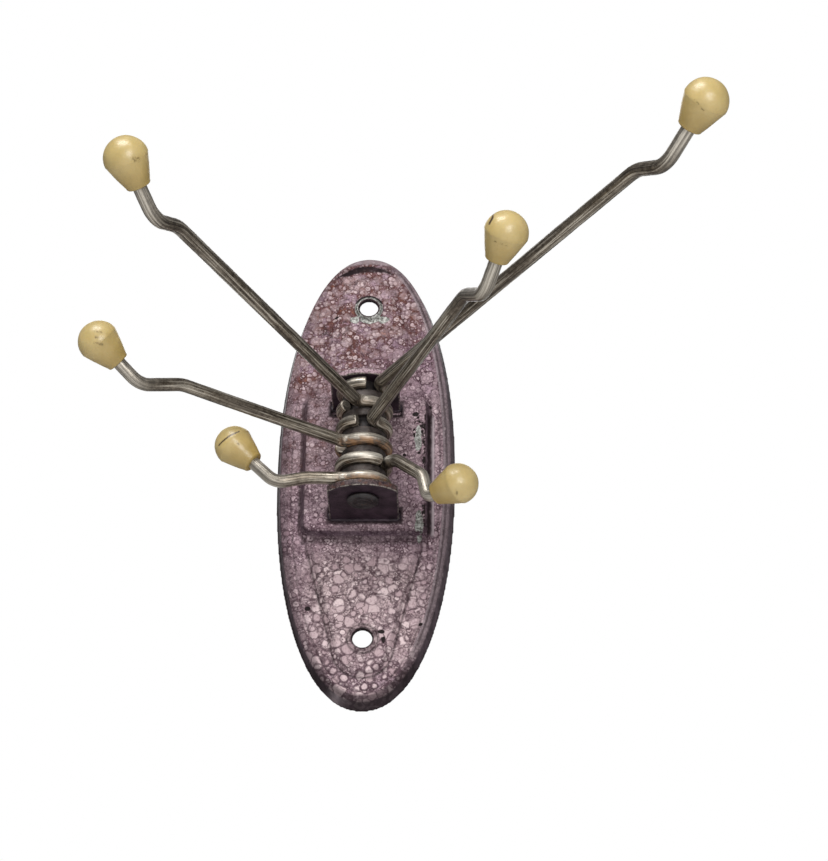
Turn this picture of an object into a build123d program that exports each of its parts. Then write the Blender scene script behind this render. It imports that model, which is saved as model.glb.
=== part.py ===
"""Wall-mounted coat rack: a pressed oval plate, a two-lug bracket and six swivelling wire arms.

Millimetres. +Z is up, -Y points away from the wall, and the origin is the middle of the oval
in the plane of the wall, so the whole rack lies at y <= 0.
"""

import os
from math import atan2, cos, degrees, hypot, pi, radians, sin, sqrt

from build123d import *

# ---- base plate: one sheet pressing, rim turned back to the wall ----
PLATE_HALF_WIDTH = 33.6
PLATE_HALF_HEIGHT = 95.1
OVAL_POWER = 2.14  # 2 would be an ellipse
PLATE_DEPTH = 6.5  # wall to the flat of the rim
RIM_DRAFT = 2.0  # how far the side wall leans in over that depth
RIM_FLAT = 2.2
RIM_SLOPE = 1.6  # width of the step down from the rim to the field
FIELD_DEPTH = 5.8
SHEET = 1.4
RIM_ROUND = 1.5

PLATFORM_HALF_WIDTH = 24.3
PLATFORM_HALF_HEIGHT = 30.0
PLATFORM_DEPTH = 10.6
PLATFORM_DRAFT = 2.0
PLATFORM_CORNER = 4.0

TONGUE_HALF_WIDTH = 23.2  # where it leaves the platform
TONGUE_ROOT = 28.0
TONGUE_TIP_RADIUS = 11.5
TONGUE_TIP = 85.0
TONGUE_RISE = 1.2
TONGUE_SLOPE = 2.0

SCREW_HEIGHT = 69.75
SCREW_HOLE_RADIUS = 3.6
SCREW_COLLAR_RADIUS = 5.2
SCREW_COLLAR_DEPTH = 0.8
SCREW_COLLAR_TAPER = 30  # degrees

# ---- bracket: one strip bent into a U, its two lugs reaching through the plate ----
STRIP = 2.5
LUG_HALF_WIDTH = 12.75
LUG_SHOULDER = 32.9  # where the rounded front begins
LUG_FRONT = 38.5
TOP_LUG_UNDERSIDE = 22.1
BOTTOM_LUG_TOP = -21.3
STRIP_INNER_BEND = 1.2
SLOT_PLAY = 0.35
WEB_HALF_WIDTH = 16.0  # the hidden web is wider than the slots
WEB_SHOULDER = 1.2  # and reaches this far past the lugs beside the bends

# ---- pivot pin, spacers and eyes ----
PIN_DISTANCE = 27.4
PIN_RADIUS = 5.7
PIN_NECK_RADIUS = 4.0
PIN_HOLE_PLAY = 0.15
PIN_SHOULDER_GAP = 0.05
PIN_HEAD_RADIUS = 5.8
PIN_HEAD_HEIGHT = 2.0
PIN_HEAD_EDGE = 0.7
PIN_HEAD_FULLNESS = 0.77  # share of the dome's rise that is left at half its radius
WIRE_RADIUS = 2.25
EYE_RADIUS = 8.25
EYE_PITCH = 7.75
TOP_EYE_HEIGHT = 19.775
SPACER_OUTER_RADIUS = 8.15
SPACER_INNER_RADIUS = 5.8
SPACER_THICKNESS = 3.05
SPACER_ROUND = 0.3

# ---- knobs: a hemisphere on a cone, pressed on the end of the wire ----
KNOB_RADIUS = 7.3
KNOB_NECK_LENGTH = 9.8  # middle of the dome to the base
KNOB_BASE_RADIUS = 4.1
KNOB_EDGE_ROUND = 0.8
KNOB_BORE_DEPTH = 9.8
WIRE_END_GAP = 0.5

SAME = 0.01  # lengths this close are taken as equal

# Each arm: azimuth of the shank in degrees (0 points away from the wall, + to the right), its
# offset beside the pin axis, radius of the root bend, angle where the eye's cut end stops
# (from the shank), then the side profile as (reach, height) from the eye and its bend radii.
# The last profile point is the middle of the knob's dome.
ARMS = {
    "arm_1": (32.3, 0.4, 4.0, -28.0, [(167.5, 0.0), (181.7, -7.4), (202.6, 4.1)], [14.0, 9.0]),
    "arm_2": (-25.5, 1.5, 4.0, -27.5, [(133.7, 0.0), (147.2, -5.8), (165.0, 6.3)], [14.0, 9.0]),
    "arm_3": (21.7, -0.6, 4.0, -37.0, [(99.5, 0.0), (115.9, -9.5), (134.2, 2.7)], [13.0, 8.0]),
    "arm_4": (-53.0, 0.4, 4.0, -27.0, [(77.5, 0.0), (93.9, -5.9), (110.6, 5.2)], [13.0, 8.0]),
    "arm_5": (
        55.5,
        1.5,
        4.0,
        -10.5,
        [(13.5, 0.0), (25.2, -9.9), (27.6, -19.4), (40.4, -17.8)],
        [5.0, 5.0, 2.9],
    ),
    "arm_6": (-87.7, 6.3, 4.0, 8.0, [(20.3, 0.0), (31.4, -2.3), (46.6, 12.3)], [13.0, 7.0]),
}


def front_plane(depth):
    """A plane parallel to the wall, this far in front of it; its x is +X and its y is +Z."""
    return Plane.XZ.offset(depth)


def oval(half_width, half_height):
    """The plate's outline: a smooth closed curve a little squarer than an ellipse."""
    quarter_steps = 8
    points = []
    for step in range(4 * quarter_steps):
        angle = step * pi / (2 * quarter_steps)
        x = half_width * abs(cos(angle)) ** (2 / OVAL_POWER)
        y = half_height * abs(sin(angle)) ** (2 / OVAL_POWER)
        points.append((x if cos(angle) >= 0 else -x, y if sin(angle) >= 0 else -y))
    with BuildSketch() as outline:
        with BuildLine():
            Spline(*points, periodic=True)
        make_face()
    return outline.sketch


def oval_block(back_depth, back_inset, front_depth, front_inset):
    """A drafted block of the plate's outline between two depths."""
    with BuildPart() as block:
        for depth, inset in ((back_depth, back_inset), (front_depth, front_inset)):
            with BuildSketch(front_plane(depth)):
                add(oval(PLATE_HALF_WIDTH - inset, PLATE_HALF_HEIGHT - inset))
        loft(ruled=True)
    return block.part


def platform_block(back_depth, front_depth, inset):
    """The raised rectangle, its walls leaning in by the draft."""
    with BuildPart() as block:
        for depth, draft in ((back_depth, 0), (front_depth, PLATFORM_DRAFT)):
            with BuildSketch(front_plane(depth)):
                RectangleRounded(
                    2 * (PLATFORM_HALF_WIDTH - inset - draft),
                    2 * (PLATFORM_HALF_HEIGHT - inset - draft),
                    PLATFORM_CORNER - inset / 2 - draft / 2,
                )
        loft(ruled=True)
    return block.part


def tongue(up, inset):
    """A tapering tongue with a round tip, above (up=1) or below (up=-1) the platform."""
    radius = TONGUE_TIP_RADIUS - inset
    half_width = TONGUE_HALF_WIDTH - inset
    tip_centre = TONGUE_TIP - TONGUE_TIP_RADIUS
    run = tip_centre - TONGUE_ROOT
    # each straight side leaves a root corner and is tangent to the round tip
    lean = atan2(half_width, run) - atan2(radius, sqrt(half_width**2 + run**2 - radius**2))
    side = (radius * cos(lean), up * (tip_centre + radius * sin(lean)))
    other_side = (-side[0], side[1])
    with BuildSketch() as outline:
        with BuildLine():
            Polyline(other_side, (-half_width, up * TONGUE_ROOT), (half_width, up * TONGUE_ROOT), side)
            ThreePointArc(side, (0, up * (tip_centre + radius)), other_side)
        make_face()
    return outline.sketch


def tongue_block(up, back_depth, front_depth, inset):
    """A tongue with sloping edges."""
    with BuildPart() as block:
        for depth, slope in ((back_depth, 0), (front_depth, TONGUE_SLOPE)):
            with BuildSketch(front_plane(depth)):
                add(tongue(up, inset + slope))
        loft(ruled=True)
    return block.part


def finish(piece, name):
    """Label one finished piece and write it to its own file."""
    piece.part.label = name
    export_step(piece.part, f"parts/{name}.step")


os.makedirs("parts", exist_ok=True)

# ---- base plate ----
with BuildPart() as base_plate:
    add(oval_block(0, 0, PLATE_DEPTH, RIM_DRAFT))
    fillet(base_plate.edges().sort_by(Axis.Y)[0], RIM_ROUND)
    # the field, a step below the rim
    above_rim = 1.0
    field_inset = RIM_DRAFT + RIM_FLAT
    slope_spread = RIM_SLOPE * above_rim / (PLATE_DEPTH - FIELD_DEPTH)
    field = (FIELD_DEPTH, field_inset + RIM_SLOPE, PLATE_DEPTH + above_rim, field_inset - slope_spread)
    add(oval_block(*field), mode=Mode.SUBTRACT)
    for up in (1, -1):
        add(tongue_block(up, FIELD_DEPTH - SHEET / 2, FIELD_DEPTH + TONGUE_RISE, 0))
    add(platform_block(FIELD_DEPTH - SHEET / 2, PLATFORM_DEPTH, 0))
    # the hollow back: the same shapes, one sheet thickness in
    add(oval_block(0, SHEET, FIELD_DEPTH - SHEET, SHEET + RIM_DRAFT), mode=Mode.SUBTRACT)
    hollow_floor = FIELD_DEPTH - 2 * SHEET
    for up in (1, -1):
        hollow = tongue_block(up, hollow_floor, FIELD_DEPTH + TONGUE_RISE - SHEET, SHEET)
        add(hollow, mode=Mode.SUBTRACT)
    add(platform_block(hollow_floor, PLATFORM_DEPTH - SHEET, SHEET), mode=Mode.SUBTRACT)
    # two slots for the bracket's lugs, wide enough for its bends
    with BuildSketch(front_plane(PLATFORM_DEPTH)):
        for outer_face, side in ((TOP_LUG_UNDERSIDE + STRIP, 1), (BOTTOM_LUG_TOP - STRIP, -1)):
            slot_height = SLOT_PLAY + STRIP + STRIP_INNER_BEND + SLOT_PLAY
            with Locations((0, outer_face + side * (SLOT_PLAY - slot_height / 2))):
                Rectangle(2 * (LUG_HALF_WIDTH + SLOT_PLAY), slot_height)
    extrude(amount=-2 * SHEET, mode=Mode.SUBTRACT)
    # two screw holes, each in a low collar
    tongue_face = FIELD_DEPTH + TONGUE_RISE
    with BuildSketch(front_plane(tongue_face)):
        with Locations((0, SCREW_HEIGHT), (0, -SCREW_HEIGHT)):
            Circle(SCREW_COLLAR_RADIUS)
    extrude(amount=SCREW_COLLAR_DEPTH, taper=SCREW_COLLAR_TAPER)
    with BuildSketch(front_plane(0)):
        with Locations((0, SCREW_HEIGHT), (0, -SCREW_HEIGHT)):
            Circle(SCREW_HOLE_RADIUS)
    extrude(amount=PLATFORM_DEPTH, mode=Mode.SUBTRACT)
finish(base_plate, "base_plate")

# ---- bracket ----
web_front = PLATFORM_DEPTH - SHEET
web_back = web_front - STRIP
top_outer = TOP_LUG_UNDERSIDE + STRIP
bottom_outer = BOTTOM_LUG_TOP - STRIP
with BuildPart() as bracket:
    # seen from the side: local x runs away from the wall, local y is up
    with BuildSketch(Plane.YZ.offset(-LUG_HALF_WIDTH)):
        with BuildLine():
            Polyline(
                (-LUG_FRONT, top_outer),
                (-web_back, top_outer),
                (-web_back, bottom_outer),
                (-LUG_FRONT, bottom_outer),
                (-LUG_FRONT, BOTTOM_LUG_TOP),
                (-web_front, BOTTOM_LUG_TOP),
                (-web_front, TOP_LUG_UNDERSIDE),
                (-LUG_FRONT, TOP_LUG_UNDERSIDE),
                close=True,
            )
        make_face()
    extrude(amount=2 * LUG_HALF_WIDTH)
    across = bracket.edges().filter_by(Axis.X)
    inner_bends = across.filter_by(lambda edge: abs(edge.center().Y + web_front) < SAME)
    fillet(inner_bends, STRIP_INNER_BEND)
    across = bracket.edges().filter_by(Axis.X)
    outer_bends = across.filter_by(lambda edge: abs(edge.center().Y + web_back) < SAME)
    fillet(outer_bends, STRIP_INNER_BEND + STRIP)
    # seen from above: the lugs' rounded fronts
    with BuildSketch(Plane.XY.offset(bottom_outer)):
        with BuildLine():
            Line((LUG_HALF_WIDTH, -LUG_SHOULDER), (LUG_HALF_WIDTH, 0))
            Line((LUG_HALF_WIDTH, 0), (-LUG_HALF_WIDTH, 0))
            Line((-LUG_HALF_WIDTH, 0), (-LUG_HALF_WIDTH, -LUG_SHOULDER))
            ThreePointArc(
                (-LUG_HALF_WIDTH, -LUG_SHOULDER),
                (0, -LUG_FRONT),
                (LUG_HALF_WIDTH, -LUG_SHOULDER),
            )
        make_face()
    extrude(amount=top_outer - bottom_outer, mode=Mode.INTERSECT)
    # shoulders beside the bends, behind the plate
    shoulder_width = WEB_HALF_WIDTH - LUG_HALF_WIDTH
    with BuildSketch(front_plane(web_back)):
        for side in (1, -1):
            with Locations((side * (LUG_HALF_WIDTH + shoulder_width / 2), (top_outer + bottom_outer) / 2)):
                Rectangle(shoulder_width, top_outer - bottom_outer + 2 * WEB_SHOULDER)
    extrude(amount=STRIP)
    # the holes for the pin's necks
    with BuildSketch(Plane.XY.offset(bottom_outer)):
        with Locations((0, -PIN_DISTANCE)):
            Circle(PIN_NECK_RADIUS + PIN_HOLE_PLAY)
    extrude(amount=top_outer - bottom_outer, mode=Mode.SUBTRACT)
finish(bracket, "bracket")

# ---- pivot pin ----
pin_top = TOP_LUG_UNDERSIDE - PIN_SHOULDER_GAP
pin_bottom = BOTTOM_LUG_TOP + PIN_SHOULDER_GAP
head_top = top_outer + PIN_SHOULDER_GAP
head_bottom = bottom_outer - PIN_SHOULDER_GAP
half_way_height = PIN_HEAD_EDGE + PIN_HEAD_FULLNESS * (PIN_HEAD_HEIGHT - PIN_HEAD_EDGE)
with BuildPart() as pivot_pin:
    with BuildSketch(Plane(origin=(0, -PIN_DISTANCE, 0), x_dir=(1, 0, 0), z_dir=(0, -1, 0))):
        with BuildLine():
            Polyline(
                (0, head_bottom - PIN_HEAD_HEIGHT),
                (0, head_top + PIN_HEAD_HEIGHT),
            )
            for face, side in ((head_top, 1), (head_bottom, -1)):
                ThreePointArc(
                    (0, face + side * PIN_HEAD_HEIGHT),
                    (PIN_HEAD_RADIUS / 2, face + side * half_way_height),
                    (PIN_HEAD_RADIUS, face + side * PIN_HEAD_EDGE),
                )
            Polyline(
                (PIN_HEAD_RADIUS, head_top + PIN_HEAD_EDGE),
                (PIN_HEAD_RADIUS, head_top),
                (PIN_NECK_RADIUS, head_top),
                (PIN_NECK_RADIUS, pin_top),
                (PIN_RADIUS, pin_top),
                (PIN_RADIUS, pin_bottom),
                (PIN_NECK_RADIUS, pin_bottom),
                (PIN_NECK_RADIUS, head_bottom),
                (PIN_HEAD_RADIUS, head_bottom),
                (PIN_HEAD_RADIUS, head_bottom - PIN_HEAD_EDGE),
            )
        make_face()
    revolve(axis=Axis((0, -PIN_DISTANCE, 0), (0, 0, 1)))
finish(pivot_pin, "pivot_pin")

# ---- spacers, one between each two eyes ----
for number in range(1, 6):
    middle = TOP_EYE_HEIGHT - (number - 0.5) * EYE_PITCH
    with BuildPart() as spacer:
        with BuildSketch(Plane.XY.offset(middle - SPACER_THICKNESS / 2)):
            with Locations((0, -PIN_DISTANCE)):
                Circle(SPACER_OUTER_RADIUS)
                Circle(SPACER_INNER_RADIUS, mode=Mode.SUBTRACT)
        extrude(amount=SPACER_THICKNESS)
        chamfer(spacer.edges().filter_by(GeomType.CIRCLE), SPACER_ROUND)
    finish(spacer, f"spacer_{number}")


def knob_axis(profile):
    """Unit direction of the knob in the arm's side profile, and the middle of its dome."""
    before, end = profile[-2:]
    length = hypot(end[0] - before[0], end[1] - before[1])
    return ((end[0] - before[0]) / length, (end[1] - before[1]) / length), end


# ---- arms: round wire with an eye, a root bend, a straight shank and a hook; and their knobs ----
for index, (name, (azimuth, offset, root_bend, eye_end, profile, bends)) in enumerate(ARMS.items()):
    eye_centre = Vector(0, -PIN_DISTANCE, TOP_EYE_HEIGHT - index * EYE_PITCH)
    along = Vector(sin(radians(azimuth)), -cos(radians(azimuth)), 0)
    beside = Vector(cos(radians(azimuth)), sin(radians(azimuth)), 0)
    eye_plane = Plane(origin=eye_centre, x_dir=along, z_dir=(0, 0, 1))
    side_plane = Plane(origin=eye_centre + beside * offset, x_dir=along, z_dir=-beside)

    # the root bend touches both the eye's circle and the shank's line
    bend_beside = offset + root_bend
    bend_along = sqrt((EYE_RADIUS + root_bend) ** 2 - bend_beside**2)
    touch = degrees(atan2(bend_beside, bend_along))
    direction, dome = knob_axis(profile)
    wire_end = (dome[0] - WIRE_END_GAP * direction[0], dome[1] - WIRE_END_GAP * direction[1])

    with BuildPart() as arm:
        with BuildLine(eye_plane):
            eye = CenterArc((0, 0), EYE_RADIUS, 360 + eye_end, touch - 360 - eye_end)
            CenterArc((bend_along, bend_beside), root_bend, 180 + touch, 90 - touch)
        with BuildLine(side_plane):
            FilletPolyline((bend_along, 0), *profile[:-1], wire_end, radius=bends)
        with BuildSketch(Plane(origin=eye @ 0, z_dir=eye % 0)):
            Circle(WIRE_RADIUS)
        sweep()
    finish(arm, name)

    base = eye_centre + beside * offset + along * dome[0] + Vector(0, 0, dome[1])
    knob_direction = along * direction[0] + Vector(0, 0, direction[1])
    base -= knob_direction * KNOB_NECK_LENGTH
    with BuildPart() as knob:
        # half section: local x is the knob's radius, local y runs from its base to its crown
        with BuildSketch(Plane(origin=base, x_dir=beside, z_dir=beside.cross(knob_direction))):
            with BuildLine():
                Line((0, KNOB_BORE_DEPTH), (0, KNOB_NECK_LENGTH + KNOB_RADIUS))
                ThreePointArc(
                    (0, KNOB_NECK_LENGTH + KNOB_RADIUS),
                    (KNOB_RADIUS * sin(pi / 4), KNOB_NECK_LENGTH + KNOB_RADIUS * cos(pi / 4)),
                    (KNOB_RADIUS, KNOB_NECK_LENGTH),
                )
                Polyline(
                    (KNOB_RADIUS, KNOB_NECK_LENGTH),
                    (KNOB_BASE_RADIUS, 0),
                    (WIRE_RADIUS, 0),
                    (WIRE_RADIUS, KNOB_BORE_DEPTH),
                    (0, KNOB_BORE_DEPTH),
                )
            make_face()
        revolve(axis=Axis(base, knob_direction))
        rims = knob.edges().filter_by(GeomType.CIRCLE)
        base_rim = rims.filter_by(lambda edge: abs(edge.radius - KNOB_BASE_RADIUS) < SAME)
        fillet(base_rim, KNOB_EDGE_ROUND)
    finish(knob, name.replace("arm", "knob"))
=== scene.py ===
"""Looks for a wall coat rack: an enamelled plate, a worn bracket and six wire arms with ivory knobs."""

import math

import bmesh
import bpy
import numpy as np
from mathutils import Matrix, Vector
from mathutils import noise as mnoise


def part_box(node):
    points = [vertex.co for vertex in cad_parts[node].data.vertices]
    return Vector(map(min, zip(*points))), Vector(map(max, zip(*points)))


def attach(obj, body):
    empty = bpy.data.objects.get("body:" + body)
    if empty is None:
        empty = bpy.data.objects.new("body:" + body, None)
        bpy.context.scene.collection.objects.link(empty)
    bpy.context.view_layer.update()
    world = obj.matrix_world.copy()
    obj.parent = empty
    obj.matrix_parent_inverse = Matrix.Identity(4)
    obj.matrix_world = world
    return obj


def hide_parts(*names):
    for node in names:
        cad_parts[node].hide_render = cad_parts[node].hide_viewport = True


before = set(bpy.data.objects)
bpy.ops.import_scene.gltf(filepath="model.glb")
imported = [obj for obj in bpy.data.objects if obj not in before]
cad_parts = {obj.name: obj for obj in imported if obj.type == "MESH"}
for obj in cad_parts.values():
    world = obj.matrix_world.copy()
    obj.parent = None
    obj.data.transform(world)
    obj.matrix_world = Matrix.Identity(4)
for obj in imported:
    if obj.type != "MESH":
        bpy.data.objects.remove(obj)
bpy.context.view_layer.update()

MM = 0.001
PIN_DISTANCE = 27.4 * MM  # from the wall to the pin's axis
WALL_BODY = "wall_unit"
ARM_NUMBERS = range(1, 7)

# how finely the worn copies are remeshed
PLATE_VOXEL = 0.42 * MM
BRACKET_VOXEL = 0.32 * MM
WIRE_VOXEL = 0.34 * MM
SOFTENING_ROUNDS = 3
SHARPNESS_ROUNDS = 4  # how far round a vertex its surroundings are taken

DIE_LINE_SCALE = 4.6  # for the noise that draws the die's lines round the wire

# the camera stands below and in front of the rack and looks up at it
CAMERA_PLACE = Vector((30.17, -746.46, -394.29)) * MM
CAMERA_FORWARD = Vector((-0.0145, 0.8745, 0.48481))
CAMERA_RIGHT = Vector((0.99989, 0.01233, 0.00766))
CAMERA_LENS, CAMERA_SENSOR = 93.8, 36.0  # millimetres

SURROUND_LIGHT = 0.22  # how strongly the surround lights the rack; the camera sees it as plain white


# ---------------------------------------------------------------- node helpers


class Shader:
    """A node tree with short calls, so that each material reads as a recipe."""

    def __init__(self, name):
        self.material = bpy.data.materials.new(name)
        self.material.use_nodes = True
        self.tree = self.material.node_tree
        self.tree.nodes.clear()
        self.output = self.tree.nodes.new("ShaderNodeOutputMaterial")
        self.bsdf = self.tree.nodes.new("ShaderNodeBsdfPrincipled")
        self.tree.links.new(self.bsdf.outputs[0], self.output.inputs[0])
        self.place = self.tree.nodes.new("ShaderNodeTexCoord").outputs["Object"]

    def node(self, kind, **settings):
        made = self.tree.nodes.new(kind)
        for key, value in settings.items():
            setattr(made, key, value)
        return made

    def feed(self, socket, value):
        if isinstance(value, bpy.types.NodeSocket):
            self.tree.links.new(value, socket)
        elif isinstance(value, (tuple, list)) and len(value) == 3 and socket.type == "RGBA":
            socket.default_value = (*value, 1.0)
        else:
            socket.default_value = value

    def set(self, **values):
        """Principled sockets by name, with _ for a space."""
        for key, value in values.items():
            self.feed(self.bsdf.inputs[key.replace("_", " ")], value)

    def math(self, operation, a, b):
        made = self.node("ShaderNodeMath", operation=operation)
        self.feed(made.inputs[0], a)
        self.feed(made.inputs[1], b)
        return made.outputs[0]

    def times(self, a, b):
        return self.math("MULTIPLY", a, b)

    def plus(self, a, b):
        return self.math("ADD", a, b)

    def minus(self, a, b):
        return self.math("SUBTRACT", a, b)

    def larger(self, a, b):
        return self.math("MAXIMUM", a, b)

    def vector(self, operation, a, b):
        made = self.node("ShaderNodeVectorMath", operation=operation)
        self.feed(made.inputs[0], a)
        self.feed(made.inputs[1], b)
        return made.outputs[0]

    def stretch(self, scale, source=None):
        """The object's coordinates, or the source's, stretched."""
        made = self.node("ShaderNodeMapping")
        self.feed(made.inputs["Vector"], source or self.place)
        made.inputs["Scale"].default_value = scale
        return made.outputs[0]

    def noise_node(self, size_mm, detail=3.0, roughness=0.55, source=None):
        made = self.node("ShaderNodeTexNoise")
        self.feed(made.inputs["Vector"], source or self.place)
        made.inputs["Scale"].default_value = 1000.0 / size_mm
        made.inputs["Detail"].default_value = detail
        made.inputs["Roughness"].default_value = roughness
        return made

    def noise(self, *arguments, **settings):
        return self.noise_node(*arguments, **settings).outputs["Fac"]

    def cells(self, size_mm, feature, source):
        made = self.node("ShaderNodeTexVoronoi", feature=feature)
        self.feed(made.inputs["Vector"], source)
        made.inputs["Scale"].default_value = 1000.0 / size_mm
        return made

    def ramp(self, value, low, high, start=0.0, end=1.0):
        """A smooth step of value between low and high."""
        made = self.node("ShaderNodeMapRange", interpolation_type="SMOOTHSTEP")
        for key, number in (("Value", value), ("From Min", low), ("From Max", high)):
            self.feed(made.inputs[key], number)
        made.inputs["To Min"].default_value = start
        made.inputs["To Max"].default_value = end
        return made.outputs["Result"]

    def mix(self, factor, a, b):
        """A mix of two colours."""
        made = self.node("ShaderNodeMix", data_type="RGBA")
        self.feed(made.inputs["Factor"], factor)
        self.feed(made.inputs["A"], a)
        self.feed(made.inputs["B"], b)
        return made.outputs["Result"]

    def blend(self, factor, a, b):
        """A mix of two numbers."""
        made = self.node("ShaderNodeMix", data_type="FLOAT")
        self.feed(made.inputs["Factor"], factor)
        self.feed(made.inputs["A"], a)
        self.feed(made.inputs["B"], b)
        return made.outputs["Result"]

    def attribute(self, name):
        return self.node("ShaderNodeAttribute", attribute_name=name).outputs["Fac"]

    def bump(self, height, depth_mm, normal=None):
        made = self.node("ShaderNodeBump")
        self.feed(made.inputs["Height"], height)
        made.inputs["Distance"].default_value = depth_mm * MM
        if normal is not None:
            self.feed(made.inputs["Normal"], normal)
        return made.outputs["Normal"]


# ---------------------------------------------------------------- materials


def bubbles(s, size_mm, place, low, high):
    """Round spots packed like foam, with radii from low to high in cells.

    Gives 1 inside a spot and 0 between them, a random number per spot, and the depth inside its edge.
    """
    cells = s.cells(size_mm, "F1", place)
    split = s.node("ShaderNodeSeparateColor")
    s.feed(split.inputs[0], cells.outputs["Color"])
    radius = s.blend(split.outputs[0], low, high)
    depth = s.minus(radius, cells.outputs["Distance"])
    return s.ramp(depth, -0.06, 0.10), split.outputs[1], depth


def crackle_enamel():
    """Old hammered enamel: pale bubbles on dark plum, cracks, rust in the film, bare steel, with painted
    shade and painted highlights laid on from the plate's masks.
    """
    s = Shader("crackle_enamel")
    shake = s.vector("SUBTRACT", s.noise_node(2.2).outputs["Color"], (0.5, 0.5, 0.5))
    place = s.vector("ADD", s.place, s.vector("MULTIPLY", shake, (1.3 * MM,) * 3))
    grit = s.noise(0.8, detail=5.0, roughness=0.75)
    cloud = s.noise(6.5, detail=4.0, roughness=0.6)
    pale = s.attribute("pale")

    # ground between the bubbles: mottled plum with dark specks
    plum = s.mix(s.ramp(cloud, 0.3, 0.7), (0.09, 0.047, 0.068), (0.28, 0.18, 0.235))
    ground = s.mix(s.ramp(cloud, 0.3, 0.7), (0.30, 0.217, 0.225), (0.48, 0.373, 0.375))
    body = s.mix(pale, plum, ground)
    body = s.mix(s.ramp(grit, 0.48, 0.62, 0.0, 0.8), body, (0.028, 0.014, 0.021))
    body = s.mix(s.ramp(grit, 0.33, 0.46, 0.45, 0.0), body, (0.42, 0.32, 0.37))

    # rust eats into the ground, and later tints the bubbles over it
    rust_noise = s.noise(5.0, detail=6.0, roughness=0.7)
    rust = s.times(s.attribute("rust"), s.ramp(rust_noise, 0.40, 0.62))
    umber = s.mix(s.ramp(rust_noise, 0.58, 0.72), (0.10, 0.032, 0.022), (0.27, 0.105, 0.05))
    pitted = s.ramp(s.noise(1.6, detail=5.0, roughness=0.7), 0.48, 0.6)
    umber = s.mix(pitted, umber, (0.032, 0.012, 0.010))
    body = s.mix(s.times(rust, 0.85), body, umber)

    # bubbles, small ones everywhere, larger ones where the film is thick
    edge_colour = s.mix(s.attribute("rust"), (0.055, 0.028, 0.038), (0.060, 0.020, 0.017))
    height = s.times(grit, 0.25)
    coarse = s.attribute("coarse")
    lightness = s.larger(pale, s.times(s.larger(coarse, s.attribute("rust")), 0.85))
    thick = s.noise(5.0, detail=2.0)
    # each row: cell size in mm, smallest and largest spot radius in cells, how much of it shows
    layers = (
        (1.15, 0.20, 0.56, s.ramp(thick, 0.30, 0.5, 0.4, 0.85)),
        (2.2, 0.12, 0.60, s.ramp(thick, 0.32, 0.46, 0.5, 1.0)),
        (3.9, 0.20, 0.76, s.times(coarse, s.ramp(thick, 0.30, 0.42))),
    )
    for size, low, high, amount in layers:
        inside, tone, depth = bubbles(s, size, place, low, high)
        dim = s.mix(tone, (0.21, 0.13, 0.165), (0.45, 0.335, 0.375))
        bright = s.mix(tone, (0.36, 0.262, 0.275), (0.60, 0.485, 0.485))
        colour = s.mix(lightness, dim, bright)
        colour = s.mix(s.ramp(grit, 0.5, 0.66, 0.0, 0.6), colour, (0.17, 0.105, 0.13))
        # a darker pit in the middle of some, and a thin dark outline round each, also where two touch
        pit = s.times(s.ramp(depth, 0.34, 0.46), s.ramp(tone, 0.6, 0.8))
        colour = s.mix(s.times(pit, 0.9), colour, edge_colour)
        shown = s.times(inside, amount)
        body = s.mix(shown, body, colour)
        rim = s.times(s.ramp(depth, 0.02, 0.13, 1.0, 0.0), s.ramp(depth, -0.20, -0.06))
        gap = s.cells(size, "DISTANCE_TO_EDGE", place).outputs["Distance"]
        touching = s.times(s.ramp(gap, 0.015, 0.085, 1.0, 0.0), inside)
        outline = s.times(s.larger(rim, touching), amount)
        body = s.mix(s.times(outline, s.blend(pale, 1.0, 0.55)), body, edge_colour)
        height = s.larger(height, s.times(shown, s.ramp(depth, -0.05, 0.4)))

    # long cracks wander through the pale film
    crack_place = s.vector("ADD", s.place, s.vector("MULTIPLY", shake, (4.0 * MM,) * 3))
    crack_gap = s.cells(9.0, "DISTANCE_TO_EDGE", crack_place).outputs["Distance"]
    crack = s.times(s.ramp(crack_gap, 0.012, 0.04, 1.0, 0.0), s.times(pale, 0.8))
    body = s.mix(crack, body, (0.06, 0.035, 0.042))
    body = s.mix(s.times(rust, 0.38), body, umber)

    # thin smooth film on the turned rim, streaked down its wall: its near-black is painted shade on the
    # walls that turn away from the front, and the rim's highlight mask lightens it into a painted
    # highlight on the lit side and along the creases
    streak = s.noise(1.5, detail=4.0, source=s.stretch((1.0, 0.12, 0.35)))
    film = s.mix(s.ramp(streak, 0.35, 0.65), (0.012, 0.007, 0.010), (0.045, 0.030, 0.039))
    highlight_tone = s.mix(streak, (0.20, 0.155, 0.172), (0.42, 0.355, 0.37))
    film = s.mix(s.attribute("crest"), film, highlight_tone)
    smooth = s.attribute("smooth")
    body = s.mix(smooth, body, film)

    # painted shade: the dark mask darkens creases, the step under the platform, the platform's right
    # wall, the top brow, the slots, the holes' walls and the turned edge, and also holds a stained patch
    dark = s.times(s.attribute("dark"), s.ramp(cloud, 0.3, 0.6, 0.82, 1.0))
    body = s.mix(dark, body, (0.013, 0.008, 0.009))

    # the film is off, down to bright steel or to black scale, where the attribute beats the noise; the
    # chip mask also holds a ring of painted shade round each hole's collar
    frayed = s.noise(1.3, detail=6.0, roughness=0.75)
    bare = s.ramp(s.plus(s.attribute("bare"), s.times(frayed, 0.8)), 0.84, 0.92)
    metal_tone = s.noise(0.9, detail=5.0, roughness=0.7)
    metal = s.mix(s.ramp(metal_tone, 0.35, 0.65), (0.06, 0.057, 0.050), (0.34, 0.34, 0.32))
    chip = s.ramp(s.plus(s.attribute("chip"), s.times(frayed, 0.8)), 0.84, 0.92)
    body = s.mix(bare, body, metal)
    body = s.mix(chip, body, (0.012, 0.008, 0.008))

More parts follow.
